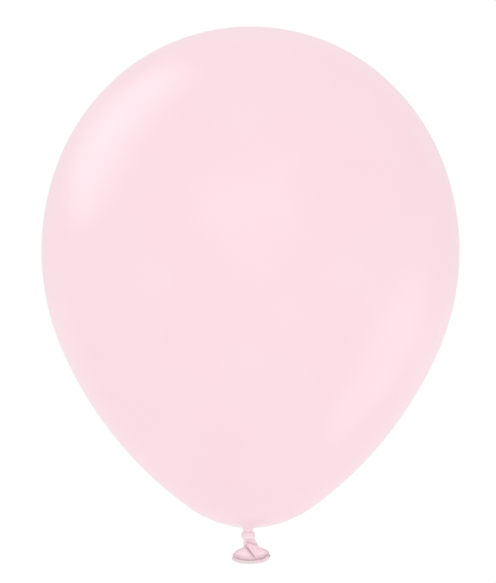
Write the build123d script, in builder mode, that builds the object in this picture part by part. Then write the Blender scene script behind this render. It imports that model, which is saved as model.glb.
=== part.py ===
from build123d import *
from math import asin, cos, degrees, hypot, radians, sin
import os

os.makedirs("parts", exist_ok=True)

# A twelve-inch latex balloon, inflated and tied with an overhand knot in its own neck.
# Millimetres, +Z up through the crown, the folded front of the tail facing -Y.
# The origin is the tie point: the middle of the neck's pinch, just above the knot.

# Envelope: the meridian is a chain of tangent arcs (radius, sweep) from the crown to the nose.
envelope_axis_x = 1.8
crown_height = 361.2
film_wall = 0.3
meridian_arcs = [(144.7, 44.2), (157.6, 25.4), (177.4, 43.6), (274.2, 30.5), (84.7, 29.7)]

# Neck: the film gathers from the nose to the pinch, then runs on as a bunched strand.
sway_height = 1.1
socket_gap = 0.3
ball_sweep_above = 24
ball_sweep_below = 4
gather_wall = 0.35
pinch_radius = 3.2
pleat_count = 11
pleat_radius = 0.4
pleat_stand = 0.15
stem_length = 1.1
joint_gap = 0.2

# Knot: one strand. It runs down, once round both of its own runs, and down again inside the turn.
strand_radius = 1.5
strand_slack = 0.1
turn_reach = 3.45
turn_foot = -5.45
turn_climb = 0.094
tuck_rise = 0.2
tuck_bend = 1.7
turn_bend = 2.6
knot_foot = -7.0

# Tail: a gathered head that rolls under the knot, then a flattened skirt that fans out.
# Each section of the skirt is (height, half width, half depth, drift to the side).
head_x = 1.5
head_radius = 2.6
skirt_wall = 0.45
hollow_top = -13.0
skirt_sections = [
    (-9.8, 4.95, 2.6, 1.5),
    (-12.0, 6.1, 2.9, 2.0),
    (-13.5, 8.8, 3.3, 2.2),
    (-15.0, 11.6, 3.8, 2.4),
    (-17.0, 13.2, 4.2, 2.4),
    (-19.5, 13.3, 4.4, 2.3),
    (-24.5, 13.3, 4.4, 2.3),
]

# The crease where one side of the skirt folds over the other, as (x, height) down its front.
fold_points = [(-2.6, -8.9), (-0.9, -12.9), (1.9, -15.9), (4.9, -24.4)]
fold_bend = 4.0
fold_radius = 1.7
fold_depth = 0.9

# Lip: the rolled bead round the mouth, curved about a point near the tie.
bead_radius = 1.25
rim_x = 1.2
rim_height = 1.6
rim_radius = 24.7
rim_half_angle = 31.3
rim_tilt = 3.0
rim_half_depth = 4.2

# Worked out: the strand leaves the knot one pitch behind the neck, and the tail hangs there.
strand_pitch = 2 * strand_radius + strand_slack
tail_y = strand_pitch
tail_pivot_height = knot_foot - joint_gap - head_radius
envelope_axis = Axis((envelope_axis_x, 0, 0), (0, 0, 1))


# Envelope: the inflated film, open at the nose where the neck gathers in.
with BuildPart() as envelope:
    with BuildSketch(Plane.XZ):
        with BuildLine():
            nose_ends = []
            for inset in (0, film_wall):
                start = Vector(envelope_axis_x, crown_height - inset)
                heading = Vector(1, 0)
                for arc_radius, arc_sweep in meridian_arcs:
                    arc = JernArc(start, heading, arc_radius - inset, -arc_sweep)
                    start = arc @ 1
                    heading = arc % 1
                nose_ends.append(start)
            Line(nose_ends[0], nose_ends[1])
            Line((envelope_axis_x, crown_height), (envelope_axis_x, crown_height - film_wall))
        make_face()
    revolve(axis=envelope_axis)
envelope.part.label = "envelope"


# Neck gather: a funnel of pleated film. Its upper rim is part of a ball, centred where the neck
# sways, that turns in the nose opening.
nose_radius = nose_ends[1].X - envelope_axis_x
ball_radius = nose_radius - socket_gap
inner_ball_radius = ball_radius - gather_wall
funnel_top = sway_height - ball_radius * sin(radians(ball_sweep_below))
funnel_radius = ball_radius * cos(radians(ball_sweep_below))
inner_sweep_below = degrees(asin((sway_height - funnel_top) / inner_ball_radius))


def funnel_ends(inset):
    with BuildSketch(Plane.XY.offset(funnel_top)) as top:
        with Locations((envelope_axis_x, 0)):
            Circle(funnel_radius - inset)
    with BuildSketch(Plane.XY.offset(inset)) as foot:
        Circle(pinch_radius - inset)
    return top.sketch, foot.sketch


with BuildPart() as neck_gather:
    loft(funnel_ends(0))
    for pleat in range(pleat_count):
        pleat_angle = radians(360 * pleat / pleat_count)
        outward = Vector(cos(pleat_angle), sin(pleat_angle))
        pleat_top = outward * (funnel_radius - pleat_radius) + (envelope_axis_x, 0, funnel_top)
        pleat_foot = outward * (pinch_radius - pleat_radius + pleat_stand)
        pleat_run = pleat_foot - pleat_top
        with BuildSketch(Plane(pleat_top, z_dir=pleat_run)):
            Circle(pleat_radius)
        extrude(amount=pleat_run.length + pleat_radius)
    split(bisect_by=Plane.XY, keep=Keep.TOP)
    split(bisect_by=Plane.XY.offset(funnel_top), keep=Keep.BOTTOM)
    with BuildSketch(Plane.XZ):
        with BuildLine():
            centre = (envelope_axis_x, sway_height)
            outer = CenterArc(
                centre, ball_radius, -ball_sweep_below, ball_sweep_below + ball_sweep_above
            )
            inner = CenterArc(
                centre, inner_ball_radius, -inner_sweep_below, inner_sweep_below + ball_sweep_above
            )
            Line(outer @ 0, inner @ 0)
            Line(outer @ 1, inner @ 1)
        make_face()
    revolve(axis=envelope_axis)
    loft(funnel_ends(gather_wall), mode=Mode.SUBTRACT)
neck_gather.part.label = "neck_gather"


# Neck stem: the bunched strand from the pinch down to the knot.
with BuildPart() as neck_stem:
    with BuildSketch():
        Circle(strand_radius)
    extrude(amount=-stem_length)
neck_stem.part.label = "neck_stem"


# Knot: an overhand knot. The strand comes down on the neck's own line, goes once round both
# runs while it climbs, tucks in over the top, and leaves downwards behind its first run.
turn_corners = [
    (-turn_reach, 0),
    (-turn_reach, tail_y + strand_pitch),
    (turn_reach, tail_y + strand_pitch),
    (turn_reach, -strand_pitch),
    (-turn_reach, -strand_pitch),
    (-turn_reach, tail_y),
]
strand_points = [(0, 0, -stem_length - joint_gap), (0, 0, turn_foot)]
turn_height = turn_foot
last_corner = turn_corners[0]
for corner in turn_corners:
    turn_height += turn_climb * hypot(corner[0] - last_corner[0], corner[1] - last_corner[1])
    strand_points.append((*corner, turn_height))
    last_corner = corner
strand_points += [(0, tail_y, turn_height + tuck_rise), (0, tail_y, knot_foot)]
bend_radii = [tuck_bend] * 2 + [turn_bend] * 4 + [tuck_bend] * 2

with BuildPart() as knot:
    with BuildLine():
        strand = FilletPolyline(*strand_points, radius=bend_radii)
    with BuildSketch(Plane(strand @ 0, z_dir=strand % 0)):
        Circle(strand_radius)
    sweep()
knot.part.label = "knot"


# Lip bead: the rolled rim of the mouth, two long arcs joined by a half turn at each end.
def on_rim(angle, depth):
    turned = radians(angle + rim_tilt)
    return Vector(
        rim_x + rim_radius * sin(turned), tail_y + depth, rim_height - rim_radius * cos(turned)
    )


def past_rim_end(angle, side):
    turned = radians(angle + rim_tilt)
    return on_rim(angle, 0) + Vector(cos(turned), 0, sin(turned)) * rim_half_depth * side


long_arc = rim_half_angle - degrees(rim_half_depth / rim_radius)

with BuildPart() as lip_bead:
    with BuildLine():
        front = ThreePointArc(*[on_rim(angle, -rim_half_depth) for angle in (-long_arc, 0, long_arc)])
        back = ThreePointArc(*[on_rim(angle, rim_half_depth) for angle in (long_arc, 0, -long_arc)])
        ThreePointArc(front @ 1, past_rim_end(long_arc, 1), back @ 0)
        ThreePointArc(back @ 1, past_rim_end(-long_arc, -1), front @ 0)
    with BuildSketch(Plane(front @ 0.5, z_dir=front % 0.5)):
        Circle(bead_radius)
    sweep()
lip_bead.part.label = "lip_bead"


# Tail skirt: a solid gathered head, then one wall of film round the open mouth.
def half_depth_at(height):
    for upper, lower in zip(skirt_sections, skirt_sections[1:]):
        if height >= lower[0]:
            share = (upper[0] - height) / (upper[0] - lower[0])
            return upper[2] + share * (lower[2] - upper[2])


def fold_groove(radius):
    with BuildPart() as groove:
        with BuildLine():
            path = FilletPolyline(
                *[
                    (x, tail_y - half_depth_at(height) - fold_radius + fold_depth, height)
                    for x, height in fold_points
                ],
                radius=fold_bend,
            )
        with BuildSketch(Plane(path @ 0, z_dir=path % 0)):
            Circle(radius)
        sweep()
    return groove.part


def skirt_form(sections, inset):
    with BuildPart() as form:
        for height, half_width, half_depth, drift in sections:
            with BuildSketch(Plane.XY.offset(height)):
                with Locations((drift, tail_y)):
                    SlotOverall(2 * (half_width - inset), 2 * (half_depth - inset))
        loft()
        add(fold_groove(fold_radius + inset), mode=Mode.SUBTRACT)
    return form.part


skirt_outside = skirt_form(skirt_sections, 0)
skirt_hollow = skirt_form([s for s in skirt_sections if s[0] < hollow_top], skirt_wall)

with BuildPart() as tail_skirt:
    add(skirt_outside)
    with BuildSketch(Plane.XZ.offset(-tail_y)):
        with BuildLine():
            run = skirt_sections[0][1] - head_radius
            left = CenterArc((head_x - run, tail_pivot_height), head_radius, 90, 90)
            right = CenterArc((head_x + run, tail_pivot_height), head_radius, 0, 90)
            Line(left @ 0, right @ 1)
            Line(left @ 1, right @ 0)
        make_face()
    revolve(axis=Axis((0, tail_y, tail_pivot_height), (1, 0, 0)))
    add(skirt_hollow, mode=Mode.SUBTRACT)
    with Locations((rim_x, tail_y, rim_height)):
        Cylinder(rim_radius, 4 * rim_half_depth, rotation=(90, 0, 0), mode=Mode.INTERSECT)
    add(lip_bead.part, mode=Mode.SUBTRACT)
tail_skirt.part.label = "tail_skirt"


for node in (envelope, neck_gather, neck_stem, knot, tail_skirt, lip_bead):
    export_step(node.part, f"parts/{node.part.label}.step")
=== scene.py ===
import bpy
import math
from mathutils import Matrix, Vector


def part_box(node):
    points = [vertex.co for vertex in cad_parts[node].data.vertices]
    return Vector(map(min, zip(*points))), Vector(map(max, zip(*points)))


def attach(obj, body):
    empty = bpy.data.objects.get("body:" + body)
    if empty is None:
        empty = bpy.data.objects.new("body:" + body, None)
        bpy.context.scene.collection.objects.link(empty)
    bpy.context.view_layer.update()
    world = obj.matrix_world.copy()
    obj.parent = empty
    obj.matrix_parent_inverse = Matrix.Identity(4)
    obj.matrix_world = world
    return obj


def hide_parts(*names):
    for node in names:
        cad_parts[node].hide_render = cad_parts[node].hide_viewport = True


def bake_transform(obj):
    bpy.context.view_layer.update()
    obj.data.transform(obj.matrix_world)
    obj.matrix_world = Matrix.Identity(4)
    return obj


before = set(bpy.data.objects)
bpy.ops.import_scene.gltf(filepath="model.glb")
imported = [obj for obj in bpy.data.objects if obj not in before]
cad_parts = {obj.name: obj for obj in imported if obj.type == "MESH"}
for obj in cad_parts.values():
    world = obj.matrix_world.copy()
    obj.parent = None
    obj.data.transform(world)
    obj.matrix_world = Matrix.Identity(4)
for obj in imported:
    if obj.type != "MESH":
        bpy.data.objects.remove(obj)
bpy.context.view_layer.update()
mm = 0.001
print("frame loaded:", ", ".join(sorted(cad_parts)))


# colours as a paint chart gives them, 0 to 255, turned to the values that a shader takes
def chart(red, green, blue):
    def linear(step):
        share = step / 255
        return share / 12.92 if share <= 0.04045 else ((share + 0.055) / 1.055) ** 2.4

    return (linear(red), linear(green), linear(blue), 1.0)


# small helpers for shapes
def bump(distance, width):
    return math.exp(-((distance / width) ** 2))


def smoothStep(value, low, high):
    share = min(max((value - low) / (high - low), 0), 1)
    return share * share * (3 - 2 * share)


def signedPower(value, power):
    return math.copysign(abs(value) ** power, value)


# small helpers for node trees
def addNode(tree, kind, sockets=None, **settings):
    node = tree.nodes.new(kind)
    for setting, value in settings.items():
        setattr(node, setting, value)
    for socket, value in (sockets or {}).items():
        feed(tree, value, node.inputs[socket])
    return node


def feed(tree, value, socket):
    if isinstance(value, bpy.types.NodeSocket):
        tree.links.new(value, socket)
    else:
        socket.default_value = value


def calc(tree, operation, *values, clamp=False):
    node = addNode(tree, "ShaderNodeMath", dict(enumerate(values)), operation=operation, use_clamp=clamp)
    return node.outputs[0]


def vecCalc(tree, operation, *values):
    node = addNode(tree, "ShaderNodeVectorMath", operation=operation)
    vectorSockets = [socket for socket in node.inputs if socket.type == "VECTOR"]
    for value, socket in zip(values, vectorSockets):
        feed(tree, value, socket)
    return node.outputs["Value" if operation == "DOT_PRODUCT" else "Vector"]


def vecScale(tree, vector, amount):
    node = addNode(tree, "ShaderNodeVectorMath", {0: vector, "Scale": amount}, operation="SCALE")
    return node.outputs["Vector"]


def xyz(tree, x, y, z):
    return addNode(tree, "ShaderNodeCombineXYZ", {"X": x, "Y": y, "Z": z}).outputs["Vector"]


def ramp(tree, value, low, high, toLow=0.0, toHigh=1.0):
    # a smooth change from one value to another between two stops
    node = addNode(
        tree,
        "ShaderNodeMapRange",
        {"Value": value, "From Min": low, "From Max": high, "To Min": toLow, "To Max": toHigh},
        interpolation_type="SMOOTHSTEP",
    )
    return node.outputs["Result"]


def mixColor(tree, share, first, second):
    return addNode(tree, "ShaderNodeMix", {0: share, 6: first, 7: second}, data_type="RGBA").outputs[2]


def noise(tree, place, scale, detail, roughness=0.5):
    sockets = {"Vector": place, "Scale": scale, "Detail": detail, "Roughness": roughness}
    return addNode(tree, "ShaderNodeTexNoise", sockets).outputs["Fac"]


def startTree(name, treeKind, inputs, outputs):
    tree = bpy.data.node_groups.new(name, treeKind)
    for label, (socketKind, value) in inputs.items():
        socket = tree.interface.new_socket(label, in_out="INPUT", socket_type=socketKind)
        if value is not None:
            socket.default_value = value
    for label, socketKind in outputs.items():
        tree.interface.new_socket(label, in_out="OUTPUT", socket_type=socketKind)
    return tree, tree.nodes.new("NodeGroupInput").outputs, tree.nodes.new("NodeGroupOutput").inputs


# finishes: a bloom and a painted crease shade that every latex surface shares, then one material for each
# state of the latex
bloom = {
    "clouds": (0.32, 0.68),  # the part of the noise that clouds, dust and pinholes each show
    "dust": (0.46, 0.72),
    "pinholes": (0.02, 0.16),
    "pinholeSpread": 0.55,
    "cloudThickness": 0.16,  # how far clouds and slack latex go towards the thick and painted light tint
    "slackThicknessAndPaintedLight": 0.84,
    "dustTint": (1.0, 0.97, 0.97, 1.0),
    "dustShare": 0.12,
    "dustRoughness": 0.22,
    "cloudRoughness": 0.03,
    "pinholeDepth": 0.35,
    "cloudRelief": 0.4,
}


def makeBloomGroup():
    tree, given, out = startTree(
        "latexBloom",
        "ShaderNodeTree",
        {
            "Tint": ("NodeSocketColor", (1, 1, 1, 1)),
            "Thick Tint": ("NodeSocketColor", (1, 1, 1, 1)),
            "Slackness": ("NodeSocketFloat", 0.0),
            "Cloud Size": ("NodeSocketFloat", 0.06),
            "Grain Size": ("NodeSocketFloat", 0.0012),
            "Powder": ("NodeSocketFloat", 0.3),
            "Base Roughness": ("NodeSocketFloat", 0.36),
        },
        {"Color": "NodeSocketColor", "Roughness": "NodeSocketFloat", "Height": "NodeSocketFloat"},
    )
    place = addNode(tree, "ShaderNodeTexCoord").outputs["Object"]
    clouds = noise(tree, place, calc(tree, "DIVIDE", 1.0, given["Cloud Size"]), 3.0, 0.45)
    grain = noise(tree, place, calc(tree, "DIVIDE", 1.0, given["Grain Size"]), 4.0, 0.6)
    spread = calc(tree, "DIVIDE", bloom["pinholeSpread"], given["Grain Size"])
    specks = addNode(tree, "ShaderNodeTexVoronoi", {"Vector": place, "Scale": spread}).outputs["Distance"]
    cloudShare = ramp(tree, clouds, *bloom["clouds"])
    powder = calc(tree, "MULTIPLY", ramp(tree, grain, *bloom["dust"]), given["Powder"])
    pinholes = ramp(tree, specks, *bloom["pinholes"], 1.0, 0.0)

    # slack latex goes towards the second tint: on film and neck that tint is lighter, painted light lifting
    # the shade near the tie; on the lip it is a darker tone
    slack = calc(tree, "MULTIPLY", given["Slackness"], bloom["slackThicknessAndPaintedLight"])
    thickAndLitShare = calc(tree, "MULTIPLY_ADD", cloudShare, bloom["cloudThickness"], slack, clamp=True)
    latex = mixColor(tree, thickAndLitShare, given["Tint"], given["Thick Tint"])
    dusting = calc(tree, "MULTIPLY", powder, bloom["dustShare"])
    feed(tree, mixColor(tree, dusting, latex, bloom["dustTint"]), out["Color"])
    rough = calc(tree, "MULTIPLY_ADD", powder, bloom["dustRoughness"], given["Base Roughness"])
    feed(tree, calc(tree, "MULTIPLY_ADD", cloudShare, bloom["cloudRoughness"], rough), out["Roughness"])
    relief = calc(tree, "MULTIPLY_ADD", pinholes, -bloom["pinholeDepth"], grain)
    feed(tree, calc(tree, "MULTIPLY_ADD", cloudShare, bloom["cloudRelief"], relief), out["Height"])
    return tree


# painted shade: a darker tint mixed in where the crease shade attribute is high, in uneven patches
def makeCreaseShadeGroup():
    tree, given, out = startTree(
        "latexCrease",
        "ShaderNodeTree",
        {
            "Color": ("NodeSocketColor", (1, 1, 1, 1)),
            "Crease Tint": ("NodeSocketColor", (0.5, 0.4, 0.4, 1)),
            "Depth": ("NodeSocketFloat", 0.0),
            "Strength": ("NodeSocketFloat", 1.0),
            "Patch Scale": ("NodeSocketFloat", 420.0),
        },
        {"Color": "NodeSocketColor"},
    )
    place = addNode(tree, "ShaderNodeTexCoord").outputs["Object"]
    patches = noise(tree, place, given["Patch Scale"], 2.0)
    uneven = ramp(tree, patches, 0.3, 0.7, 0.75, 1.0)
    deep = calc(tree, "MULTIPLY", given["Depth"], given["Strength"])
    share = calc(tree, "MULTIPLY", deep, uneven, clamp=True)
    feed(tree, mixColor(tree, share, given["Color"], given["Crease Tint"]), out["Color"])
    return tree


bloomGroup = makeBloomGroup()
creaseShadeGroup = makeCreaseShadeGroup()


latexIor = 1.52


def makeLatex(name, look):
    material = bpy.data.materials.new(name)
    material.use_nodes = True
    tree = material.node_tree
    surface = tree.nodes["Principled BSDF"]
    # slackness: how far the latex goes towards its second tint, which is painted light on film and neck
    slackness = addNode(tree, "ShaderNodeAttribute", attribute_name="slackness").outputs["Fac"]
    # how much painted crease shade each point takes
    depth = addNode(tree, "ShaderNodeAttribute", attribute_name="crease").outputs["Fac"]
    bloomed = addNode(
        tree,
        "ShaderNodeGroup",
        {
            "Tint": look["tint"],
            "Thick Tint": look["thickAndPaintedLightTint"],
            "Slackness": slackness,
            "Cloud Size": look["cloudSize"],
            "Grain Size": look["grainSize"],
            "Powder": look["powder"],
            "Base Roughness": look["roughness"],
        },
        node_tree=bloomGroup,
    )
    creaseShaded = addNode(
        tree,
        "ShaderNodeGroup",
        {
            "Color": bloomed.outputs["Color"],
            "Crease Tint": look["creaseShadeTint"],
            "Depth": depth,
            "Strength": look["creaseShadeStrength"],
        },
        node_tree=creaseShadeGroup,
    )
    height = bloomed.outputs["Height"]
    reliefs = {"Height": height, "Distance": look["relief"], "Strength": look["reliefStrength"]}
    relief = addNode(tree, "ShaderNodeBump", reliefs)
    feed(tree, creaseShaded.outputs["Color"], surface.inputs["Base Color"])
    feed(tree, bloomed.outputs["Roughness"], surface.inputs["Roughness"])
    feed(tree, relief.outputs["Normal"], surface.inputs["Normal"])
    surface.inputs["IOR"].default_value = latexIor
    surface.inputs["Specular IOR Level"].default_value = look["gloss"]
    return material


filmLook = {
    "tint": chart(252, 217, 226),
    # thick tint: lighter than the tint, painted light that lifts the shade under the body near the tie;
    # random clouds also go towards it
    "thickAndPaintedLightTint": chart(254, 232, 238),
    # crease tint: painted shade in the pleats near the tie
    "creaseShadeTint": chart(240, 208, 217),
    "creaseShadeStrength": 0.42,
    "cloudSize": 70 * mm,
    "grainSize": 1.1 * mm,
    "powder": 0.30,
    "roughness": 0.30,
    "relief": 0.02 * mm,
    "reliefStrength": 0.5,
    "gloss": 0.95,
}
gatheredLook = {
    "tint": chart(250, 222, 230),
    # thick tint: lighter than the tint, painted light that lifts the shade on the neck, knot and tail
    "thickAndPaintedLightTint": chart(254, 232, 238),
    # crease tint: painted shade in the knot's flutes and in the tail's gathers, tucks, edges and fold
    "creaseShadeTint": chart(207, 175, 184),
    "creaseShadeStrength": 0.9,
    "cloudSize": 5 * mm,
    "grainSize": 0.35 * mm,
    "powder": 0.35,
    "roughness": 0.38,
    "relief": 0.05 * mm,
    "reliefStrength": 0.6,
    "gloss": 0.5,
}
beadLook = {
    "tint": chart(236, 223, 225),
    "thickAndPaintedLightTint": chart(233, 214, 218),
    # crease tint: painted shade along the roll's step and at the lip's nipped ends
    "creaseShadeTint": chart(156, 142, 147),
    "creaseShadeStrength": 0.85,
    "cloudSize": 6 * mm,
    "grainSize": 0.35 * mm,
    "powder": 0.35,
    "roughness": 0.40,
    "relief": 0.05 * mm,
    "reliefStrength": 0.6,
    "gloss": 0.5,
}
filmLatex = makeLatex("stretchedFilmLatex", filmLook)
gatheredLatex = makeLatex("gatheredNeckLatex", gatheredLook)
beadLatex = makeLatex("rolledLipLatex", beadLook)
print("finishes made")


# guides and growing: a tree is run on an empty mesh, and the result is kept as a plain mesh
weldGap = 0.001 * mm


def guideCurve(name, points, order=0, closed=False):
    line = bpy.data.curves.new(name, "CURVE")
    line.dimensions = "3D"
    line.resolution_u = 16
    spline = line.splines.new("NURBS" if order else "POLY")
    spline.points.add(len(points) - 1)
    for knot, point in zip(spline.points, points):
        knot.co = (*point, 1.0)
    spline.use_cyclic_u = closed
    if order:
        spline.order_u = order
        spline.use_endpoint_u = not closed
    guide = bpy.data.objects.new(name, line)
    bpy.context.scene.collection.objects.link(guide)
    return guide


def growPiece(name, tree, values):
    piece = bpy.data.objects.new(name, bpy.data.meshes.new(name))
    bpy.context.scene.collection.objects.link(piece)
    grow = piece.modifiers.new("grow", "NODES")
    grow.node_group = tree
    sockets = {item.name: item.identifier for item in tree.interface.items_tree if item.in_out == "INPUT"}
    for label, value in values.items():
        grow[sockets[label]] = value
    grown = piece.evaluated_get(bpy.context.evaluated_depsgraph_get())
    mesh = bpy.data.meshes.new_from_object(grown)
    piece.modifiers.remove(grow)
    piece.data = mesh
    mesh.name = name
    for guide in [value for value in values.values() if isinstance(value, bpy.types.Object)]:
        bpy.data.objects.remove(guide)
    return piece


def startSheet(tree, columns, rows):
    # a flat sheet one unit square, with how far round and how far along each of its points lies
    counts = {"Vertices X": calc(tree, "ADD", columns, 1), "Vertices Y": calc(tree, "ADD", rows, 1)}
    grid = addNode(tree, "GeometryNodeMeshGrid", {"Size X": 1.0, "Size Y": 1.0, **counts})
    flat = addNode(tree, "ShaderNodeSeparateXYZ", {0: addNode(tree, "GeometryNodeInputPosition").outputs[0]})
    roundShare = calc(tree, "ADD", flat.outputs["X"], 0.5, clamp=True)
    along = calc(tree, "ADD", flat.outputs["Y"], 0.5, clamp=True)
    return grid.outputs["Mesh"], roundShare, along


def readGuide(tree, guide, factor):
    # the place and the heading on a guide curve at a share of its length
    curve = addNode(tree, "GeometryNodeObjectInfo", {"Object": guide}).outputs["Geometry"]
    sample = addNode(tree, "GeometryNodeSampleCurve", {"Curves": curve, "Factor": factor}, mode="FACTOR")
    return sample.outputs["Position"], sample.outputs["Tangent"]


def closeSheet(tree, sheet, place, crease, slackness, latex):
    # the sheet takes its shape, its seam is welded, and it carries its painted crease shade, its slackness
    # and its material
    for label, value in (("crease", crease), ("slackness", slackness)):
        sheet = addNode(
            tree,
            "GeometryNodeStoreNamedAttribute",
            {"Geometry": sheet, "Name": label, "Value": value},
            data_type="FLOAT",
            domain="POINT",
        ).outputs["Geometry"]
    sheet = addNode(tree, "GeometryNodeSetPosition", {"Geometry": sheet, "Position": place}).outputs[0]
    sheet = addNode(tree, "GeometryNodeMergeByDistance", {"Geometry": sheet, "Distance": weldGap}).outputs[0]
    sheet = addNode(tree, "GeometryNodeRealizeInstances", {"Geometry": sheet}).outputs[0]
    return addNode(tree, "GeometryNodeSetMaterial", {"Geometry": sheet, "Material": latex}).outputs[0]


def faceOutwards(piece):
    mesh = piece.data
    middle = sum((Vector(corner) for corner in piece.bound_box), Vector()) / len(piece.bound_box)
    outward = sum(face.area * face.normal.dot(face.center - middle) for face in mesh.polygons)
    if outward < 0:
        mesh.flip_normals()


def giveWall(piece, thickness):
    wall = piece.modifiers.new("wall", "SOLIDIFY")
    wall.thickness = thickness
    wall.offset = -1
    wall.use_even_offset = False
    walled = piece.evaluated_get(bpy.context.evaluated_depsgraph_get())
    mesh = bpy.data.meshes.new_from_object(walled)
    piece.modifiers.remove(wall)
    piece.data = mesh
    mesh.name = piece.name


def smoothShade(piece):
    piece.data.polygons.foreach_set("use_smooth", [True] * len(piece.data.polygons))
    piece.data.update()


# spun latex: a meridian turned about an upright axis, with pleats that deepen towards the tie
lobeRoundness = 0.75
lobeLevel = 0.95  # where the unpleated surface lies, from 0 in a crease to 1 on top of a lobe
creaseEdge = 0.62  # how far up a lobe its painted crease shade can still be seen


def makeSpunTree():
    tree, given, out = startTree(
        "spunLatex",
        "GeometryNodeTree",
        {
            "Meridian": ("NodeSocketObject", None),
            "Rings": ("NodeSocketInt", 200),
            "Segments": ("NodeSocketInt", 192),
            "Crowding": ("NodeSocketFloat", 1.0),
            "Axis X": ("NodeSocketFloat", 0.0),
            "Tie X": ("NodeSocketFloat", 0.0),
            "Tie Radius": ("NodeSocketFloat", 0.003),
            "Lean Radius": ("NodeSocketFloat", 0.012),
            "Neck Height": ("NodeSocketFloat", 0.03),
            "Pleats": ("NodeSocketInt", 11),
            "Pleat Depth": ("NodeSocketFloat", 0.0004),
            "Pleat Reach": ("NodeSocketFloat", 0.014),
            "Slack Reach": ("NodeSocketFloat", 0.05),
            "Crown Slack": ("NodeSocketFloat", 0.2),
            "Crease Share": ("NodeSocketFloat", 1.0),
            "Latex": ("NodeSocketMaterial", None),
        },
        {"Geometry": "NodeSocketGeometry"},
    )
    sheet, roundShare, along = startSheet(tree, given["Segments"], given["Rings"])
    turn = calc(tree, "MULTIPLY", roundShare, 2 * math.pi)
    left = calc(tree, "POWER", calc(tree, "SUBTRACT", 1.0, along), given["Crowding"])
    place, tangent = readGuide(tree, given["Meridian"], calc(tree, "SUBTRACT", 1.0, left))
    spot = addNode(tree, "ShaderNodeSeparateXYZ", {0: place}).outputs
    heading = addNode(tree, "ShaderNodeSeparateXYZ", {0: tangent}).outputs

    # the pleats stand uneven round the neck: rounded lobes with narrow creases between them
    wideWander = calc(tree, "MULTIPLY", calc(tree, "SINE", calc(tree, "MULTIPLY_ADD", turn, 2, 0.7)), 0.2)
    fineWander = calc(tree, "MULTIPLY", calc(tree, "SINE", calc(tree, "MULTIPLY_ADD", turn, 3, 2.1)), 0.12)
    uneven = calc(tree, "ADD", turn, calc(tree, "ADD", wideWander, fineWander))
    halfTurns = calc(tree, "MULTIPLY", uneven, calc(tree, "MULTIPLY", given["Pleats"], 0.5))
    lobe = calc(tree, "POWER", calc(tree, "ABSOLUTE", calc(tree, "SINE", halfTurns)), lobeRoundness)
    atNeck = calc(tree, "LESS_THAN", spot["Z"], given["Neck Height"])
    fade = ramp(tree, spot["X"], given["Tie Radius"], given["Pleat Reach"], 1.0, 0.0)
    fade = calc(tree, "MULTIPLY", calc(tree, "POWER", fade, 2.0), atNeck)
    depth = calc(tree, "MULTIPLY", fade, given["Pleat Depth"])
    stand = calc(tree, "MULTIPLY", depth, calc(tree, "SUBTRACT", lobe, lobeLevel))
    radius = calc(tree, "MULTIPLY_ADD", heading["Z"], calc(tree, "MULTIPLY", stand, -1.0), spot["X"])
    height = calc(tree, "MULTIPLY_ADD", heading["X"], stand, spot["Z"])

    # the axis leans over from the body's own to the tie's
    nearTie = ramp(tree, spot["X"], given["Tie Radius"], given["Lean Radius"], 1.0, 0.0)
    leanShare = calc(tree, "MULTIPLY", nearTie, atNeck)
    offset = calc(tree, "SUBTRACT", given["Tie X"], given["Axis X"])
    lean = calc(tree, "MULTIPLY_ADD", leanShare, offset, given["Axis X"])
    place = xyz(
        tree,
        calc(tree, "MULTIPLY_ADD", radius, calc(tree, "COSINE", turn), lean),
        calc(tree, "MULTIPLY", radius, calc(tree, "SINE", turn)),
        height,
    )
    # painted shade in the narrow creases between the pleats
    crease = calc(tree, "MULTIPLY", fade, ramp(tree, lobe, 0.0, creaseEdge, 1.0, 0.0), clamp=True)
    crease = calc(tree, "MULTIPLY", crease, given["Crease Share"])
    # slackness: full near the tie and, by default, a fifth as much round the crown; on film and neck it
    # mixes in a lighter tint, painted light
    slack = ramp(tree, spot["X"], given["Tie Radius"], given["Slack Reach"], 1.0, 0.0)
    slack = calc(tree, "MULTIPLY", slack, ramp(tree, atNeck, 0.0, 1.0, given["Crown Slack"], 1.0))
    feed(tree, closeSheet(tree, sheet, place, crease, slack, given["Latex"]), out["Geometry"])
    return tree


def turnedBy(vector, angle):
    cos, sin = math.cos(angle), math.sin(angle)
    return Vector((vector.x * cos - vector.y * sin, vector.x * sin + vector.y * cos))


def walkArcs(start, heading, arcs, step):
    # points along a chain of tangent arcs: (radius, sweep in degrees), a negative sweep turns to the right
    points = [start]
    for radius, sweep in arcs:
        side = math.copysign(1, sweep)
        angle = math.radians(sweep)
        centre = start + side * radius * Vector((-heading.y, heading.x))
        count = max(2, round(abs(angle) * radius / step))
        for stop in range(1, count + 1):
            points.append(centre + turnedBy(start - centre, angle * stop / count))
        start = points[-1]
        heading = turnedBy(heading, angle)
    return points


spunTree = makeSpunTree()

envelopeLow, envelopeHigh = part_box("envelope")
film = {
    "crown": envelopeHigh.z,
    "axisX": (envelopeLow.x + envelopeHigh.x) / 2,
    "bodyArcs": [(144.7, -44.2), (157.6, -25.4), (177.4, -43.6), (274.2, -30.5), (84.7, -29.7)],
    "neckArcs": [(2.55, 83.4)],
    "footDrop": (0.01, 0.07),  # how far the film runs on below the neck's arc, inwards and down
    "bodyStep": 1.5 * mm,
    "neckStep": 0.15 * mm,
    "rings": 204,
    "segments": 238,
    "crowding": 2.1,
    "pleats": 13,
    "pleatDepth": 0.5 * mm,
    "pleatReach": 11 * mm,
    "creaseShare": 0.6,
    "tieRadius": 3.2 * mm,
    "leanRadius": 13 * mm,
    "slackReach": 26 * mm,
    "wall": 0.3 * mm,
}


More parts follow.
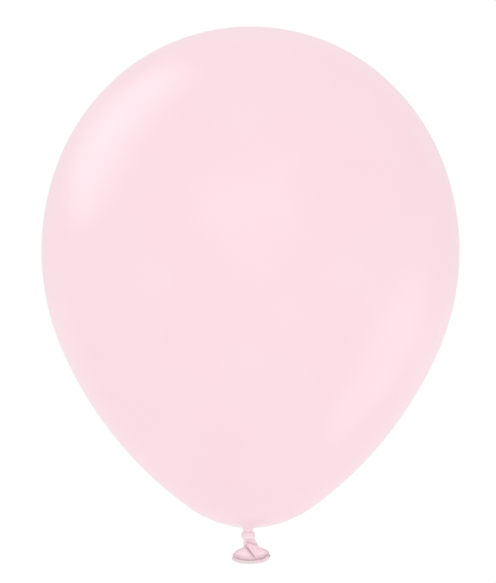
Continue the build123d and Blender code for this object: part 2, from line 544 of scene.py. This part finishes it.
def filmOutline():
    body = [(radius * mm, sweep) for radius, sweep in film["bodyArcs"]]
    neck = [(radius * mm, sweep) for radius, sweep in film["neckArcs"]]
    outline = walkArcs(Vector((0, film["crown"])), Vector((1, 0)), body, film["bodyStep"])
    heading = (outline[-1] - outline[-2]).normalized()
    outline += walkArcs(outline[-1], heading, neck, film["neckStep"])[1:]
    inwards, down = film["footDrop"]
    outline.append(outline[-1] - Vector((inwards * mm, down * mm)))
    return outline


def makeFilm():
    skin = growPiece(
        "inflatedFilm",
        spunTree,
        {
            "Meridian": guideCurve("filmMeridian", [(point.x, 0, point.y) for point in filmOutline()]),
            "Rings": film["rings"],
            "Segments": film["segments"],
            "Crowding": film["crowding"],
            "Axis X": film["axisX"],
            "Tie Radius": film["tieRadius"],
            "Lean Radius": film["leanRadius"],
            "Pleats": film["pleats"],
            "Pleat Depth": film["pleatDepth"],
            "Pleat Reach": film["pleatReach"],
            "Slack Reach": film["slackReach"],
            "Crease Share": film["creaseShare"],
            "Latex": filmLatex,
        },
    )
    faceOutwards(skin)
    giveWall(skin, film["wall"])
    smoothShade(skin)
    return skin


inflatedFilm = makeFilm()
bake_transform(inflatedFilm)
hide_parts("envelope", "neck_gather")
print("film grown:", len(inflatedFilm.data.polygons), "faces")


# neck pinch: the strand between the film and the knot, pleated as deep at one end as at the other
stem = {
    "outline": [(3.0, 0.25), (3.0, -0.2), (3.05, -0.6), (3.3, -1.0), (3.5, -1.5), (3.3, -2.2), (2.5, -2.8)],
    "rings": 40,
    "segments": 220,
    "evenTo": 20 * mm,  # wider than the strand, so that nothing on it fades
    "fadeTo": 22 * mm,
    "pleatDepth": 0.22 * mm,
    "creaseShare": 0.2,
    "wall": 0.3 * mm,
}


def makeStem():
    outline = [(radius * mm, 0, height * mm) for radius, height in stem["outline"]]
    neck = growPiece(
        "neckPinch",
        spunTree,
        {
            "Meridian": guideCurve("stemMeridian", outline, order=4),
            "Rings": stem["rings"],
            "Segments": stem["segments"],
            "Tie Radius": stem["evenTo"],
            "Lean Radius": stem["fadeTo"],
            "Pleats": film["pleats"],
            "Pleat Depth": stem["pleatDepth"],
            "Pleat Reach": stem["fadeTo"],
            "Slack Reach": stem["fadeTo"],
            "Crease Share": stem["creaseShare"],
            "Latex": gatheredLatex,
        },
    )
    faceOutwards(neck)
    giveWall(neck, stem["wall"])
    smoothShade(neck)
    return neck


neckPinch = makeStem()
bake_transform(neckPinch)
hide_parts("neck_stem")
print("neck pinch grown:", len(neckPinch.data.polygons), "faces")


# drawn latex: a band that follows a route, flattened towards a centre, fluted along and wrinkled across
spiralShare = 0.94
fluteRoundness = 0.7
fluteLevel = 0.65
fluteCrease = 0.2
wrinkleScale = 330.0
swellScale = 140.0
# how far knot and lip go towards their second tint: painted light on the knot, a darker tone on the lip
bandSlackness = 0.6


def makeBandTree():
    tree, given, out = startTree(
        "drawnLatex",
        "GeometryNodeTree",
        {
            "Route": ("NodeSocketObject", None),
            "Steps": ("NodeSocketInt", 300),
            "Around": ("NodeSocketInt", 64),
            "Centre": ("NodeSocketVector", (0, 0, 0)),
            "Half Width": ("NodeSocketFloat", 0.002),
            "Half Thickness": ("NodeSocketFloat", 0.0015),
            "Ends Closed": ("NodeSocketFloat", 1.0),
            "End Share": ("NodeSocketFloat", 0.05),
            "Flutes": ("NodeSocketInt", 9),
            "Flute Depth": ("NodeSocketFloat", 0.1),
            "Flute Twist": ("NodeSocketFloat", 1.0),
            "Roll Step": ("NodeSocketFloat", 0.0),
            "Roll Turn": ("NodeSocketFloat", 0.0),
            "Wrinkles": ("NodeSocketFloat", 0.0),
            "Wrinkle Depth": ("NodeSocketFloat", 0.0),
            "Unevenness": ("NodeSocketFloat", 0.16),
            "End Width": ("NodeSocketFloat", 1.0),
            "Latex": ("NodeSocketMaterial", None),
        },
        {"Geometry": "NodeSocketGeometry"},
    )
    sheet, share, along = startSheet(tree, given["Around"], given["Steps"])
    turn = calc(tree, "MULTIPLY", share, 2 * math.pi)
    spot, heading = readGuide(tree, given["Route"], along)

    # thickness lies along the spoke from the centre, width across it
    spoke = vecCalc(tree, "SUBTRACT", spot, given["Centre"])
    onHeading = vecScale(tree, heading, vecCalc(tree, "DOT_PRODUCT", spoke, heading))
    outward = vecCalc(tree, "NORMALIZE", vecCalc(tree, "SUBTRACT", spoke, onHeading))
    across = vecCalc(tree, "CROSS_PRODUCT", heading, outward)

    # both ends of an open route round off to a point
    nearEnd = calc(tree, "MINIMUM", along, calc(tree, "SUBTRACT", 1.0, along))
    endRun = calc(tree, "SUBTRACT", 1.0, calc(tree, "DIVIDE", nearEnd, given["End Share"], clamp=True))
    fallen = calc(tree, "SUBTRACT", 1.0, calc(tree, "MULTIPLY", endRun, endRun), clamp=True)
    openShare = calc(tree, "SUBTRACT", 1.0, given["Ends Closed"])
    size = calc(tree, "MAXIMUM", calc(tree, "SQRT", fallen), openShare)

    # flutes run along the band, broken wrinkles across it, and slow swells over both
    fluteTurn = calc(tree, "MULTIPLY_ADD", along, calc(tree, "MULTIPLY", given["Flute Twist"], math.pi), 0.4)
    halfTurns = calc(tree, "MULTIPLY_ADD", turn, calc(tree, "MULTIPLY", given["Flutes"], 0.5), fluteTurn)
    flute = calc(tree, "POWER", calc(tree, "ABSOLUTE", calc(tree, "SINE", halfTurns)), fluteRoundness)
    stand = calc(tree, "MULTIPLY", calc(tree, "SUBTRACT", flute, fluteLevel), given["Flute Depth"])
    wrinkleTurn = calc(tree, "MULTIPLY", along, calc(tree, "MULTIPLY", given["Wrinkles"], 2 * math.pi))
    drift = calc(tree, "MULTIPLY", calc(tree, "SINE", calc(tree, "MULTIPLY_ADD", turn, 2.0, 1.0)), 1.3)
    waves = calc(tree, "SINE", calc(tree, "ADD", wrinkleTurn, drift))
    wrinkle = calc(tree, "MULTIPLY", waves, noise(tree, spot, wrinkleScale, 1.0))
    stand = calc(tree, "MULTIPLY_ADD", wrinkle, given["Wrinkle Depth"], stand)
    swell = calc(tree, "SUBTRACT", noise(tree, spot, swellScale, 1.0), 0.5)
    stand = calc(tree, "MULTIPLY_ADD", swell, given["Unevenness"], stand)

    # a rolled edge is one turn of a spiral, which steps back over its last few degrees
    growing = calc(tree, "DIVIDE", share, spiralShare)
    stepping = calc(tree, "DIVIDE", calc(tree, "SUBTRACT", 1.0, share), 1.0 - spiralShare)
    spiral = calc(tree, "MINIMUM", growing, stepping)
    stand = calc(tree, "MULTIPLY_ADD", spiral, calc(tree, "MULTIPLY", given["Roll Step"], -1.0), stand)
    middle = calc(tree, "SQRT", calc(tree, "SINE", calc(tree, "MULTIPLY", along, math.pi)))
    spread = ramp(tree, middle, 0.0, 1.0, given["End Width"], 1.0)
    full = calc(tree, "MULTIPLY", calc(tree, "MULTIPLY", size, spread), calc(tree, "ADD", 1.0, stand))
    angle = calc(tree, "ADD", turn, given["Roll Turn"])
    thickness = calc(tree, "MULTIPLY", full, given["Half Thickness"])
    width = calc(tree, "MULTIPLY", full, given["Half Width"])
    onSpoke = vecScale(tree, outward, calc(tree, "MULTIPLY", thickness, calc(tree, "COSINE", angle)))
    offSpoke = vecScale(tree, across, calc(tree, "MULTIPLY", width, calc(tree, "SINE", angle)))
    place = vecCalc(tree, "ADD", spot, vecCalc(tree, "ADD", onSpoke, offSpoke))

    # painted crease shade lies in the flutes, and along the step of a rolled edge
    hasFlutes = calc(tree, "GREATER_THAN", given["Flute Depth"], 0.001)
    isRolled = calc(tree, "GREATER_THAN", given["Roll Step"], 0.001)
    fluted = calc(tree, "MULTIPLY", ramp(tree, flute, 0.0, 0.6, fluteCrease, 0.0), hasFlutes)
    seam = calc(tree, "MULTIPLY", ramp(tree, share, spiralShare, 1.0), isRolled)
    crease = calc(tree, "MAXIMUM", fluted, seam)
    feed(tree, closeSheet(tree, sheet, place, crease, bandSlackness, given["Latex"]), out["Geometry"])
    return tree


bandTree = makeBandTree()

knotted = {
    "route": [
        (0, 0, -0.6),
        (0, 0, -4.3),
        (-3.2, 0, -4.7),
        (-3.2, 6.2, -4.4),
        (3.5, 6.2, -4.1),
        (3.5, -3.1, -3.9),
        (-3.2, -3.1, -3.6),
        (-3.2, 3.1, -3.1),
        (0, 3.1, -2.7),
        (0, 3.1, -7.4),
    ],
    "centre": (0, 1.5, -3.8),
    "steps": 420,
    "around": 90,
    "halfWidth": 2.6 * mm,
    "halfThickness": 1.45 * mm,
    "endShare": 0.04,
    "endWidth": 0.72,
    "flutes": 6,
    "fluteDepth": 0.05,
    "fluteTwist": 3.0,
    "unevenness": 0.16,
    "turnShade": 0.5,
    "turnShadeFrom": (3.2, 5.0),  # how far out from the middle the painted shade begins and is full
}


def shadeTurns(strand):
    # painted shade darkens the knot's outer turns towards its left and right sides
    creases = strand.data.attributes["crease"].data
    for vertex in strand.data.vertices:
        share = knotted["turnShade"] * smoothStep(abs(vertex.co.x) / mm, *knotted["turnShadeFrom"])
        creases[vertex.index].value = max(creases[vertex.index].value, share)


def makeKnot():
    route = [tuple(mm * c for c in point) for point in knotted["route"]]
    strand = growPiece(
        "knotStrand",
        bandTree,
        {
            "Route": guideCurve("knotRoute", route, order=3),
            "Steps": knotted["steps"],
            "Around": knotted["around"],
            "Centre": tuple(mm * c for c in knotted["centre"]),
            "Half Width": knotted["halfWidth"],
            "Half Thickness": knotted["halfThickness"],
            "End Share": knotted["endShare"],
            "End Width": knotted["endWidth"],
            "Flutes": knotted["flutes"],
            "Flute Depth": knotted["fluteDepth"],
            "Flute Twist": knotted["fluteTwist"],
            "Unevenness": knotted["unevenness"],
            "Latex": gatheredLatex,
        },
    )
    shadeTurns(strand)
    faceOutwards(strand)
    smoothShade(strand)
    return strand


knotStrand = makeKnot()
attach(knotStrand, "knot")
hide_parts("knot")
print("knot drawn:", len(knotStrand.data.polygons), "faces")


# lip: the rolled bead round the mouth
lip = {
    "x": 1.2,
    "y": 3.1,
    "height": 1.5,
    "radius": 24.7,
    "halfAngle": 30.8,
    "tilt": 3.0,
    "halfDepth": 4.2,
    "squareness": 2.8,
    "backLift": 0.5,
    "rise": 0.66,  # how much of the round the mouth line follows near the middle
    "upturn": 0.29,
    "upturnFrom": (9, 13),
    "waves": [(0.18, 3, 0.6), (0.1, 5, 2.0)],  # size, waves round the mouth, start
    "waveLift": 0.5,
    "stops": 120,
    "steps": 480,
    "around": 56,
    "beadRadius": 1.42 * mm,
    "centreLift": 0.6 * mm,
    "rollStep": 0.14,
    "rollTurn": 2.2,
    "wrinkles": 74.0,
    "wrinkleDepth": 0.022,
    "unevenness": 0.16,
    "tips": [(16.0, 1.7, -18.8, 1.9, 1.0), (-11.5, 2.2, -19.9, 1.5, 0.55)],  # x, y, z, size, strength
    "tipTuck": 0.3,
}


def rimLift(x):
    # how far the mouth line rises on its way out from the middle: flat at first, then turned up
    reach = min(abs(x - lip["x"]), 0.9 * lip["radius"])
    rise = lip["radius"] - math.sqrt(lip["radius"] ** 2 - reach**2)
    return rise * (lip["rise"] + lip["upturn"] * smoothStep(reach, *lip["upturnFrom"]))


def lipPoint(share):
    turn = 2 * math.pi * share
    corner = 2 / lip["squareness"]
    reach = lip["halfAngle"] * signedPower(math.cos(turn), corner)
    depth = lip["halfDepth"] * signedPower(math.sin(turn), corner)
    x = lip["x"] + lip["radius"] * math.sin(math.radians(reach + lip["tilt"]))
    wave = sum(size * math.sin(count * turn + start) for size, count, start in lip["waves"])
    lift = lip["backLift"] * (0.5 + 0.5 * depth / lip["halfDepth"])
    height = lip["height"] - lip["radius"] + rimLift(x) + wave * lip["waveLift"] + lift
    return Vector((x, lip["y"] + depth + wave, height))


def tuckAndShadeTips(bead):
    # both ends of the lip are nipped in where the roll turns back, and painted shade darkens them
    creases = bead.data.attributes["crease"].data
    for x, y, z, size, strength in lip["tips"]:
        for vertex in bead.data.vertices:
            share = strength * bump((vertex.co / mm - Vector((x, y, z))).length, size)
            creases[vertex.index].value = max(creases[vertex.index].value, share)
            vertex.co.x -= math.copysign(lip["tipTuck"] * share * mm, x)


def makeLip():
    loop = [lipPoint(stop / lip["stops"]) * mm for stop in range(lip["stops"])]
    middle = sum(loop, Vector()) / len(loop)
    bead = growPiece(
        "rolledLip",
        bandTree,
        {
            "Route": guideCurve("lipLoop", loop, closed=True),
            "Steps": lip["steps"],
            "Around": lip["around"],
            "Centre": tuple(middle + Vector((0, 0, lip["centreLift"]))),
            "Half Width": lip["beadRadius"],
            "Half Thickness": lip["beadRadius"],
            "Ends Closed": 0.0,
            "Flute Depth": 0.0,
            "Roll Step": lip["rollStep"],
            "Roll Turn": lip["rollTurn"],
            "Wrinkles": lip["wrinkles"],
            "Wrinkle Depth": lip["wrinkleDepth"],
            "Unevenness": lip["unevenness"],
            "Latex": beadLatex,
        },
    )
    tuckAndShadeTips(bead)
    faceOutwards(bead)
    smoothShade(bead)
    return bead


rolledLip = makeLip()
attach(rolledLip, "tail")
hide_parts("lip_bead")
print("lip rolled:", len(rolledLip.data.polygons), "faces")


# tail: the slack neck below the knot, pressed flat, with one side folded over the other
tail = {
    "sections": [  # height, half width, half depth, drift
        (-4.7, 1.6, 1.4, 0.2),
        (-5.5, 3.1, 2.9, 0.4),
        (-6.4, 3.7, 3.4, 0.7),
        (-7.3, 4.2, 3.2, 1.0),
        (-9.3, 4.8, 2.9, 1.5),
        (-11.6, 5.3, 2.8, 2.1),
        (-13.0, 6.7, 3.1, 2.4),
        (-14.6, 9.7, 3.6, 2.6),
        (-16.6, 11.5, 4.1, 2.4),
        (-19.4, 12.6, 4.4, 2.2),
        (-22.0, 13.2, 4.3, 2.0),
        (-23.2, 13.1, 4.2, 2.0),
    ],
    "frontColumns": 208,
    "backColumns": 112,
    "rows": 150,
    "squareness": 2.5,
    "evenShare": 0.42,  # 1 spreads the front columns evenly, and less crowds them towards the fold
    "wall": 0.22 * mm,
    # how far the tail goes towards the lighter tint: painted light
    "slackness": 0.5,
    "gathers": 17,
    "gatherDepth": 0.34,
    "gatherShade": 0.5,
    "gatherFade": (9.0, 18.5),  # depths below the origin where a form begins and is full, or fades out
    "collarHeight": -8.9,
    "collarSlant": 0.3,
    "collarFrom": (-2.6, -0.6),  # x where the crease begins and is full
    "collarRoll": 0.4,
    "collarDip": 0.5,
    "collarShade": 0.75,
    "swellHeight": -19.8,
    "swell": 0.35,
    "tuckHeight": -22.3,
    "tuck": 0.9,
    "tuckShade": 0.6,
    "tuckShadeFrom": (17.8, 20.2),
    "mouthEnds": (4, 9),  # how far out from the middle the ends of the mouth begin
    "endRelief": 0.4,  # how much less the wall swells and tucks there
    "endShade": 0.25,
    "edgeShade": 0.75,
    "edgeShadeFrom": (11, 15),
    "dents": [  # x, height, width, length, outwards, in front, behind
        (9.0, -16.5, 3.0, 3.0, 0.3, 1, 1),
        (5.6, -14.5, 1.6, 3.0, -0.4, 1, 0),
    ],
    "furrows": [  # x at the furrow's height, slant, width, depth, depths below the origin
        (-1.5, -0.3, 1.1, 0.8, (9.5, 13)),
        (5.5, 0.2, 1.3, 0.6, (10, 14)),
    ],
    "furrowHeight": -14,
    "fold": [  # height, x
        (-6.0, -0.9),
        (-8.5, -0.9),
        (-10.5, -0.6),
        (-12.6, 0.5),
        (-15.0, 2.4),
        (-18.0, 4.7),
        (-23.4, 7.2),
    ],
    "foldWidth": 2.3,
    "foldLap": 0.08,
    "foldDepth": 1.05,
    "foldFrom": (8.6, 12.0),
    "foldFlattens": (17.5, 22.0),
    "foldFlattening": 0.7,
    "foldShade": 0.72,
    "foldShadeFrom": (9.8, 12.4),
    "meetsLip": (21.6, 23.2),
}


def between(rows, height):
    # a smooth curve through the rows, which run from the top down
    if height >= rows[0][0]:
        return rows[0][1:]
    for index in range(len(rows) - 1):
        upper, lower = rows[index], rows[index + 1]
        if height >= lower[0]:
            before = rows[max(index - 1, 0)]
            after = rows[min(index + 2, len(rows) - 1)]
            run = lower[0] - upper[0]
            share = (height - upper[0]) / run
            values = []
            for item in range(1, len(upper)):
                slopeIn = (lower[item] - before[item]) / (lower[0] - before[0]) * run
                slopeOut = (after[item] - upper[item]) / (after[0] - upper[0]) * run
                cubic = (
                    (2 * share**3 - 3 * share**2 + 1) * upper[item]
                    + (share**3 - 2 * share**2 + share) * slopeIn
                    + (-2 * share**3 + 3 * share**2) * lower[item]
                    + (share**3 - share**2) * slopeOut
                )
                values.append(cubic)
            return values
    return rows[-1][1:]


def plainTube(side, swing, height):
    # a place on the flattened tube: side is -1 in front and 1 behind, swing runs from -1, left, to 1, right
    halfWidth, halfDepth, drift = between(tail["sections"], height)
    corner = 2 / tail["squareness"]
    foldTurn = 0.0
    crowded = swing
    if side < 0:
        foldX = between(tail["fold"], height)[0]
        foldShare = min(max((foldX - drift) / halfWidth, -0.8), 0.8)
        foldTurn = math.copysign(math.asin(abs(foldShare) ** (1 / corner)), foldShare)
        crowded = tail["evenShare"] * swing + (1 - tail["evenShare"]) * swing**3
    turn = crowded * math.pi / 2 + foldTurn * (1 - crowded**2)
    sideways = signedPower(math.sin(turn), corner)
    backward = side * signedPower(math.cos(turn), corner) if abs(swing) < 1 else 0.0
    outward = Vector((sideways / halfWidth, backward / halfDepth))
    face = smoothStep(abs(backward), 0.05, 0.75)
    return {
        "x": drift + halfWidth * sideways,
        "y": halfDepth * backward,
        "height": height,
        "turn": turn,
        "around": turn if side < 0 else math.pi - turn,
        "outward": outward.normalized() if outward.length > 1e-9 else Vector((0, 0)),
        "rounding": abs(backward),
        "foldX": drift + halfWidth * signedPower(math.sin(foldTurn), corner),
        "front": face if side < 0 else 0.0,
        "back": 0.0 if side < 0 else face,
    }


def gathers(spot):
    # fine gathers run down from the knot and die out before the lip, with painted shade in their creases
    around = spot["around"]
    fade = 1 - smoothStep(-spot["height"], *tail["gatherFade"])
    uneven = around + 0.2 * math.sin(2 * around + 1) + 0.1 * math.sin(5 * around)
    gather = abs(math.sin(tail["gathers"] * 0.5 * uneven)) ** 0.8
    paintedShade = tail["gatherShade"] * fade * (1 - smoothStep(gather, 0, 0.5))
    return tail["gatherDepth"] * fade * (gather - 0.65), paintedShade


def collar(spot):
    # a collar rolls over under the knot, with painted shade in the slanted crease below it
    slant = tail["collarHeight"] - tail["collarSlant"] * (spot["x"] - 0.5)
    above = spot["height"] - slant
    inFront = spot["front"] * smoothStep(spot["x"], *tail["collarFrom"])
    push = tail["collarRoll"] * bump(above - 1.0, 0.7) * (0.4 + 0.6 * spot["front"])
    push -= tail["collarDip"] * bump(above, 0.55) * inFront
    return push, tail["collarShade"] * bump(above + 0.15, 0.8) * inFront


def mouth(spot):
    # the wall swells out above the lip and tucks in behind it, and painted shade darkens its tucks and its
    # side edges
    height = spot["height"]
    reach = smoothStep(abs(spot["x"] - lip["x"]), *tail["mouthEnds"])
    eased = 1 - tail["endRelief"] * reach
    face = spot["front"] + spot["back"]
    push = tail["swell"] * bump(height - tail["swellHeight"], 1.7) * eased
    push -= tail["tuck"] * bump(height - tail["tuckHeight"], 1.0) * (0.4 + 0.6 * face) * eased
    start, full = (depth - 0.4 * reach for depth in tail["tuckShadeFrom"])
    tucked = (tail["tuckShade"] + tail["endShade"] * reach) * smoothStep(-height, start, full)
    edge = 1 - smoothStep(spot["rounding"], 0.3, 0.78)
    return push, max(tucked, tail["edgeShade"] * edge * smoothStep(-height, *tail["edgeShadeFrom"]))


def dents(spot):
    # soft hollows and swells that no two tails share
    push = 0.0
    for x, height, width, length, outwards, inFront, behind in tail["dents"]:
        where = inFront * spot["front"] + behind * spot["back"]
        push += outwards * bump(spot["x"] - x, width) * bump(spot["height"] - height, length) * where
    for x, slant, width, depth, depths in tail["furrows"]:
        middle = x + slant * (spot["height"] - tail["furrowHeight"])
        push -= depth * bump(spot["x"] - middle, width) * smoothStep(-spot["height"], *depths) * spot["back"]
    return push, 0.0


def foldOver(spot, x, y):
    # the front folds: the right side laps over the left along a slanting line, with painted shade in the
    # valley beside it
    depth = -spot["height"]
    flattened = tail["foldFlattening"] * smoothStep(depth, *tail["foldFlattens"])
    fade = smoothStep(depth, *tail["foldFrom"]) * (1 - flattened)
    across = (x - spot["foldX"]) / tail["foldWidth"]
    if abs(across) < 1:
        evened = 1.25  # brings the highest point of the wave to about 1
        wave = evened * math.sin(math.pi * across) * (1 - across**2) * fade * spot["front"]
        x -= tail["foldWidth"] * (0.5 + tail["foldLap"]) * wave
        y -= tail["foldDepth"] * wave
    # painted shade in the valley beside the fold
    valley = smoothStep(across, -1.9, -0.9) * (1 - smoothStep(across, 0.2, 0.8))
    valley *= 1 - 0.55 * smoothStep(across, -0.8, -0.3)
    return x, y, tail["foldShade"] * smoothStep(depth, *tail["foldShadeFrom"]) * spot["front"] * valley


def tailPoint(side, swing, downShare):
    # a point of the tail's outer side, and how much painted crease shade it takes
    top, bottom = tail["sections"][0][0], tail["sections"][-1][0]
    height = top + (bottom - top) * downShare
    spot = plainTube(side, swing, height)
    forms = [gathers(spot), collar(spot), mouth(spot), dents(spot)]
    push = sum(form[0] for form in forms)
    crease = max(form[1] for form in forms)
    x = spot["x"] + push * spot["outward"].x
    y = spot["y"] + push * spot["outward"].y
    if side < 0:
        x, y, foldCreaseShade = foldOver(spot, x, y)
        crease = max(crease, foldCreaseShade)
    lift = rimLift(x) * smoothStep(downShare, 0.2, 1.0) ** 1.2
    point = Vector((x, y + lip["y"], height + lift))

    # the last rows run down into the middle of the rolled lip
    turn = spot["turn"]
    onLip = lipPoint(math.atan2(side * math.cos(turn), math.sin(turn)) / (2 * math.pi))
    return point.lerp(onLip, smoothStep(-height, *tail["meetsLip"])), crease


def wrapRows(rows, columns):
    # the faces of a tube whose points lie row by row
    faces = []
    for row in range(rows):
        for column in range(columns):
            here, after = row * columns + column, row * columns + (column + 1) % columns
            faces.append((here, after, after + columns, here + columns))
    return faces


def makeTail():
    front, back, rows = tail["frontColumns"], tail["backColumns"], tail["rows"]
    columns = [(-1, -1 + 2 * stop / front) for stop in range(front)]
    columns += [(1, 1 - 2 * stop / back) for stop in range(back)]
    spots = [tailPoint(side, swing, row / rows) for row in range(rows + 1) for side, swing in columns]
    mesh = bpy.data.meshes.new("foldedTail")
    mesh.from_pydata([point * mm for point, crease in spots], [], wrapRows(rows, len(columns)))
    shares = {"crease": [crease for point, crease in spots], "slackness": [tail["slackness"]] * len(spots)}
    for label, values in shares.items():
        mesh.attributes.new(label, "FLOAT", "POINT").data.foreach_set("value", values)
    mesh.materials.append(gatheredLatex)
    piece = bpy.data.objects.new("foldedTail", mesh)
    bpy.context.scene.collection.objects.link(piece)
    faceOutwards(piece)
    giveWall(piece, tail["wall"])
    smoothShade(piece)
    return piece


foldedTail = makeTail()
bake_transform(foldedTail)
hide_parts("tail_skirt")
print("tail folded:", len(foldedTail.data.polygons), "faces")


# studio: a pale floor far below, an even white room, a large soft key and two long reflections
studio = {
    "roomLevel": 0.95,
    "mirroredLevel": 0.88,
    "floorTint": chart(254, 254, 254),
    "floorGlow": 1.07,
    "floorLift": 0.5,
    "floorHeight": -0.35,
    "floorSize": 14.0,
    "lamps": [  # name, from, to, width, facing, power, whether it lights as well as being mirrored
        ("keySoft", (-2.15, -3.0, 1.42), (2.35, -3.0, 1.42), 3.6, (0, 0, 0.2), 8.0, True),
        ("leftReflection", (-1.27, 0.24, 0.36), (-0.41, 0.28, 1.27), 0.72, (0, 0, 0.2), 2.0, False),
        ("rightReflection", (0.57, 0.0, 0.17), (0.29, -0.03, -0.32), 0.24, (0, 0, 0.1), 0.16, False),
    ],
    "cameraDistance": 2.6,
    "sensorWidth": 36.0,
    "frameHeight": 0.4187,
    "lookAt": (0.0, 0.0, 0.1713),
}


def isRay(tree, *kinds):
    # 1 for a ray of any of these kinds, and 0 for the rest
    path = addNode(tree, "ShaderNodeLightPath").outputs
    found = path[kinds[0]]
    for kind in kinds[1:]:
        found = calc(tree, "MAXIMUM", found, path[kind])
    return found


def makeRoom():
    # plain white to look at, a little dimmer as a light, and dimmer still where it is mirrored
    world = bpy.data.worlds.new("room")
    world.use_nodes = True
    bpy.context.scene.world = world
    tree = world.node_tree
    tree.nodes.clear()
    room = studio["roomLevel"]
    seen = isRay(tree, "Is Camera Ray", "Is Transmission Ray")
    strength = calc(tree, "MULTIPLY_ADD", seen, 1.0 - room, room)
    mirrored = isRay(tree, "Is Glossy Ray")
    strength = calc(tree, "MULTIPLY_ADD", mirrored, studio["mirroredLevel"] - room, strength)
    light = addNode(tree, "ShaderNodeBackground", {"Color": (1, 1, 1, 1), "Strength": strength})
    addNode(tree, "ShaderNodeOutputWorld", {"Surface": light.outputs[0]})


def makeFloor():
    half = studio["floorSize"] / 2
    mesh = bpy.data.meshes.new("studioFloor")
    corners = [(-half, -half), (half, -half), (half, half), (-half, half)]
    mesh.from_pydata([(x, y, studio["floorHeight"]) for x, y in corners], [], [(0, 1, 2, 3)])
    material = bpy.data.materials.new("paleFloor")
    material.use_nodes = True
    tree = material.node_tree
    tree.nodes.clear()
    paint = addNode(tree, "ShaderNodeBsdfDiffuse", {"Color": studio["floorTint"]})
    lit = addNode(tree, "ShaderNodeEmission", {"Color": (1, 1, 1, 1), "Strength": studio["floorGlow"]})
    seen = isRay(tree, "Is Camera Ray", "Is Glossy Ray", "Is Transmission Ray")
    part = calc(tree, "MULTIPLY", seen, studio["floorLift"])
    mix = addNode(tree, "ShaderNodeMixShader", {0: part, 1: paint.outputs[0], 2: lit.outputs[0]})
    addNode(tree, "ShaderNodeOutputMaterial", {"Surface": mix.outputs[0]})
    mesh.materials.append(material)
    floor = bpy.data.objects.new("studioFloor", mesh)
    bpy.context.scene.collection.objects.link(floor)


def makeLamp(name, fromEnd, toEnd, width, facing, power, lights):
    # a soft oval light as long as the way between two points, turned to face a third
    fromEnd, toEnd = Vector(fromEnd), Vector(toEnd)
    lamp = bpy.data.lights.new(name, "AREA")
    lamp.shape = "ELLIPSE"
    lamp.size, lamp.size_y = (toEnd - fromEnd).length, width
    lamp.energy = power
    stand = bpy.data.objects.new(name, lamp)
    lengthways = (toEnd - fromEnd).normalized()
    place = (fromEnd + toEnd) / 2
    away = (place - Vector(facing)).normalized()
    away = (away - away.dot(lengthways) * lengthways).normalized()
    turned = Matrix((lengthways, away.cross(lengthways), away)).transposed()
    stand.matrix_world = Matrix.Translation(place) @ turned.to_4x4()
    stand.visible_camera = False
    stand.visible_diffuse = lights
    bpy.context.scene.collection.objects.link(stand)


def makeCamera():
    lens = bpy.data.cameras.new("camera")
    lens.sensor_width = studio["sensorWidth"]
    lens.lens = studio["sensorWidth"] * studio["cameraDistance"] / studio["frameHeight"]
    lens.clip_start, lens.clip_end = 0.1, 40.0
    camera = bpy.data.objects.new("camera", lens)
    x, y, z = studio["lookAt"]
    camera.location = (x, y - studio["cameraDistance"], z)
    camera.rotation_euler = (math.radians(90), 0, 0)
    bpy.context.scene.collection.objects.link(camera)
    bpy.context.scene.camera = camera


makeRoom()
makeFloor()
for lampValues in studio["lamps"]:
    makeLamp(*lampValues)
makeCamera()
bpy.context.scene.view_settings.view_transform = "Standard"
print("studio set")
